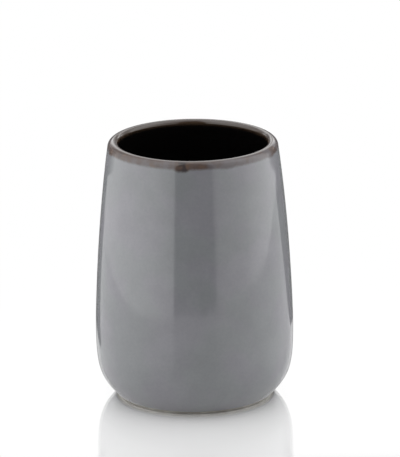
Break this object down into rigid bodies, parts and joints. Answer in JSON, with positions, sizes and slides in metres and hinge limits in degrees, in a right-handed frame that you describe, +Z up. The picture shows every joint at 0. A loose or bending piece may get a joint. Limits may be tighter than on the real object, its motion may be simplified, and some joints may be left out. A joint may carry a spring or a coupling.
{
  "type": "bathroom tumbler",
  "caption": "Straight-mouthed stoneware tumbler with a soft rounded belly, drawn in to a rolled lip and standing on a bare foot ring.",
  "frame": {"origin": "centre of the foot ring, on the surface that the tumbler stands on", "axes": "+Z up along the tumbler's axis of turning, +X to the right and -Y towards the picture's camera"},
  "size_m": [0.08, 0.08, 0.1055],
  "materials": {
    "bare_clay": "matt, fine-grained fired clay",
    "black_glaze": "high gloss, near black with a brown cast towards the lip",
    "grey_glaze": "high gloss, cool mid grey with faint violet and green drifts",
    "brown_glaze": "high gloss, grey breaking to brown where it thins over the lip",
    "well_glaze": "gloss, as the outside"
  },
  "bodies": {
    "root": {"stoneware_body": "bare_clay", "liner_glaze": "black_glaze", "outer_glaze": "grey_glaze", "rim_glaze": "brown_glaze", "foot_well_glaze": "well_glaze"}
  },
  "joints": []
}
